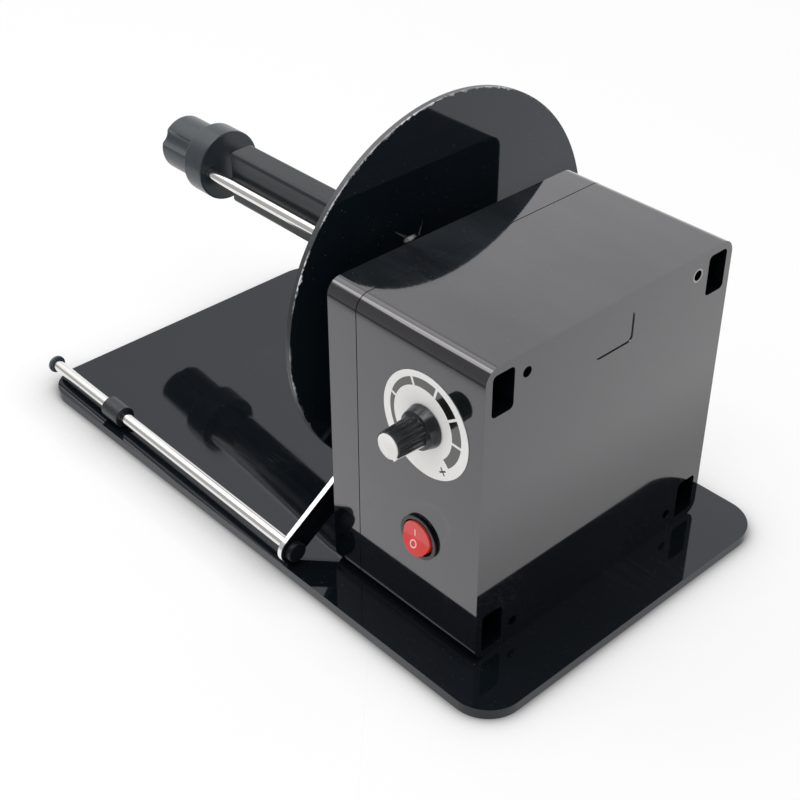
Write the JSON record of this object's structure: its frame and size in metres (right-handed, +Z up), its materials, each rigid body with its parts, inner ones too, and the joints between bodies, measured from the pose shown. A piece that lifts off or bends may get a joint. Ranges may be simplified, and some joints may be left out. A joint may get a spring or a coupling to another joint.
{
  "type": "label rewinder",
  "caption": "Desktop label rewinder: black case on a base plate, motor-driven spindle with round flange disc and pull-out clip, and a swinging guide arm with a chrome roller.",
  "frame": {"origin": "on the underside of the base plate, below the middle of the case and half way along the plate", "axes": "+Z up, +Y along the spindle from the case to the pull knob, +X to the side away from the speed knob"},
  "size_m": [0.2071, 0.3475, 0.1998],
  "materials": {
    "acrylic_black": "polished black acrylic sheet",
    "case_black": "glossy moulded black",
    "satin_black": "satin black",
    "black_bar": "black anodised bar",
    "fitting_black": "moulded black",
    "chrome": "polished bright",
    "steel": "bright zinc",
    "can_steel": "plated pressed steel",
    "brass": "plain brass",
    "aluminium": "turned aluminium",
    "dark_aluminium": "black anodised",
    "magnet": "sintered ferrite",
    "armature": "wound iron core",
    "white_plastic": "printed white",
    "red_plastic": "translucent red",
    "pot_grey": "moulded grey",
    "board_green": "solder mask",
    "sleeve_blue": "shrink sleeve",
    "rubber": "plain"
  },
  "bodies": {
    "base": {"base_plate": "acrylic_black", "base_screws": "steel", "base_nuts": "steel", "main_shell": "case_black", "cover_shell": "case_black", "cover_screws": "steel", "gearbox_front": "can_steel", "gearbox_case": "can_steel", "gearbox_screws": "steel", "idler_pin": "steel", "motor_can": "can_steel", "motor_magnets": "magnet", "motor_end": "fitting_black", "dial_scale": "white_plastic", "pot_body": "pot_grey", "pot_nut": "steel", "rocker_housing": "fitting_black", "rocker_terminals": "brass", "power_socket": "fitting_black", "socket_nut": "steel", "control_board": "board_green", "board_screws": "steel", "board_capacitor": "sleeve_blue", "heat_sink": "dark_aluminium", "switch_body": "fitting_black", "switch_screws": "steel", "pivot_bush": "brass", "bush_nut": "brass", "arm_stop": "rubber"},
    "spindle": {"output_shaft": "steel", "output_gear": "brass", "drive_hub": "aluminium", "hub_grub": "steel", "flange_disc": "acrylic_black", "core_bar": "black_bar", "core_screws": "steel"},
    "clip": {"clamp_rods": "chrome", "end_collar": "satin_black", "pull_knob": "satin_black", "pull_screw": "steel"},
    "idler": {"idler_gear": "brass"},
    "rotor": {"rotor_core": "armature", "motor_pinion": "brass"},
    "arm": {"arm_plate": "acrylic_black", "pivot_shaft": "steel", "pivot_screw": "steel", "switch_cam": "aluminium", "cam_grub": "steel", "guide_axle": "steel", "axle_head": "satin_black", "end_flange": "satin_black"},
    "roller": {"guide_roller": "chrome"},
    "ring": {"stop_ring": "satin_black"},
    "knob": {"speed_knob": "satin_black", "knob_cap": "white_plastic", "pot_shaft": "steel"},
    "rocker": {"rocker_button": "red_plastic"},
    "lever": {"switch_lever": "steel"}
  },
  "joints": [
    {"name": "spindle_spin", "type": "hinge", "parent": "base", "child": "spindle", "pos_m": [0.0163, -0.0259, 0.1061], "axis": [0, 1, 0], "continuous": true},
    {"name": "idler_spin", "type": "hinge", "parent": "base", "child": "idler", "pos_m": [0.0163, -0.0659, 0.0931], "axis": [0, 1, 0], "continuous": true},
    {"name": "rotor_spin", "type": "hinge", "parent": "base", "child": "rotor", "pos_m": [0.0163, -0.0925, 0.1016], "axis": [0, 1, 0], "continuous": true},
    {"name": "clip_slide", "type": "slide", "parent": "spindle", "child": "clip", "axis": [0, 1, 0], "range_m": [0, 0.15]},
    {"name": "arm_swing", "type": "hinge", "parent": "base", "child": "arm", "pos_m": [-0.01505, -0.0357, 0.06197], "axis": [0, 1, 0], "range_deg": [0, 45]},
    {"name": "roller_spin", "type": "hinge", "parent": "arm", "child": "roller", "pos_m": [-0.0901, -0.0342, 0.0123], "axis": [0.0175, 0.9998, -0.0052], "continuous": true},
    {"name": "ring_slide", "type": "slide", "parent": "roller", "child": "ring", "axis": [0.0175, 0.9998, -0.0052], "range_m": [-0.1, 0.045]},
    {"name": "knob_turn", "type": "hinge", "parent": "base", "child": "knob", "pos_m": [-0.085, -0.1079, 0.114], "axis": [1, 0, 0], "range_deg": [0, 290]},
    {"name": "rocker_tilt", "type": "hinge", "parent": "base", "child": "rocker", "pos_m": [-0.0744, -0.1055, 0.0546], "axis": [0, 1, 0], "range_deg": [-18, 0]},
    {"name": "lever_press", "type": "hinge", "parent": "base", "child": "lever", "pos_m": [0.01495, -0.0649, 0.05877], "axis": [0, 1, 0], "range_deg": [-17, 0]}
  ],
  "couplings": [
    {"joint": "idler_spin", "follows": "spindle_spin", "ratio": -3.3333},
    {"joint": "rotor_spin", "follows": "spindle_spin", "ratio": 8},
    {"joint": "lever_press", "follows": "arm_swing", "ratio": -0.36}
  ]
}
